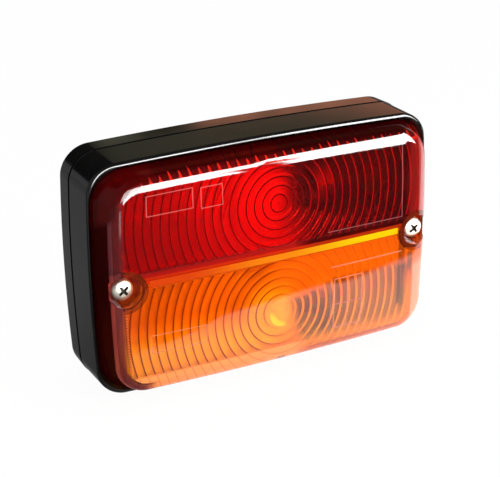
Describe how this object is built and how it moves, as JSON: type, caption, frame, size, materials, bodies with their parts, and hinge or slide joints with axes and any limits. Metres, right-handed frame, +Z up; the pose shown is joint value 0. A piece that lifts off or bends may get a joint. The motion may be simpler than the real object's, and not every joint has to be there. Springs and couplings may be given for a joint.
{
  "type": "tail light cluster",
  "caption": "Rectangular rear lamp with a red upper and an amber lower lens on a black housing, fixed from behind by threaded studs.",
  "frame": {"origin": "centre of the mounting face, midway between the two fixing studs", "axes": "+X along the lamp's length, +Z up with the red chamber above, +Y out of the back along the studs; the lens looks along -Y"},
  "size_m": [0.126, 0.0514, 0.082],
  "materials": {
    "housing_black": "glossy moulded black",
    "seal_rubber": "matt",
    "red_lens": "clear red, polished",
    "amber_lens": "clear amber, polished",
    "plated_screws": "bright plated",
    "metallised": "metallised",
    "bulb_glass": "clear",
    "bulb_cap": "nickel plated",
    "filament_wire": "drawn wire",
    "black_glass": "fused black glass",
    "solder": "solder",
    "black_zinc": "zinc plated, black passivated",
    "zinc_steel": "zinc plated",
    "fibre": "pressed fibre",
    "brass": "turned",
    "spring_steel": "drawn wire",
    "connector": "moulded",
    "lead_grey": "soft insulation",
    "lead_red": "soft insulation",
    "lead_green": "soft insulation",
    "lead_brown": "soft insulation"
  },
  "bodies": {
    "root": {"rear_base": "housing_black", "housing_frame": "housing_black", "body_seal": "seal_rubber", "lens_seal": "seal_rubber", "cable_grommet": "seal_rubber", "lens_red": "red_lens", "lens_amber": "amber_lens", "lens_screws": "plated_screws", "upper_reflector": "metallised", "lower_reflector": "metallised", "stop_bulb_glass": "bulb_glass", "turn_bulb_glass": "bulb_glass", "stop_bulb_cap": "bulb_cap", "turn_bulb_cap": "bulb_cap", "stop_bulb_filaments": "filament_wire", "turn_bulb_filament": "filament_wire", "stop_bulb_insulator": "black_glass", "turn_bulb_insulator": "black_glass", "stop_bulb_contacts": "solder", "turn_bulb_contact": "solder", "upper_socket": "black_zinc", "lower_socket": "black_zinc", "socket_bracket": "black_zinc", "bracket_rivets": "zinc_steel", "mount_bolts": "zinc_steel", "mount_washers": "zinc_steel", "terminal_screws": "zinc_steel", "upper_contact_disc": "fibre", "lower_contact_disc": "fibre", "upper_disc_contacts": "brass", "lower_disc_contact": "brass", "terminal_tubes": "brass", "upper_socket_spring": "spring_steel", "lower_socket_spring": "spring_steel", "terminal_block": "connector", "tail_lead": "lead_grey", "stop_lead": "lead_red", "turn_lead": "lead_green", "earth_lead": "lead_brown"}
  },
  "joints": []
}
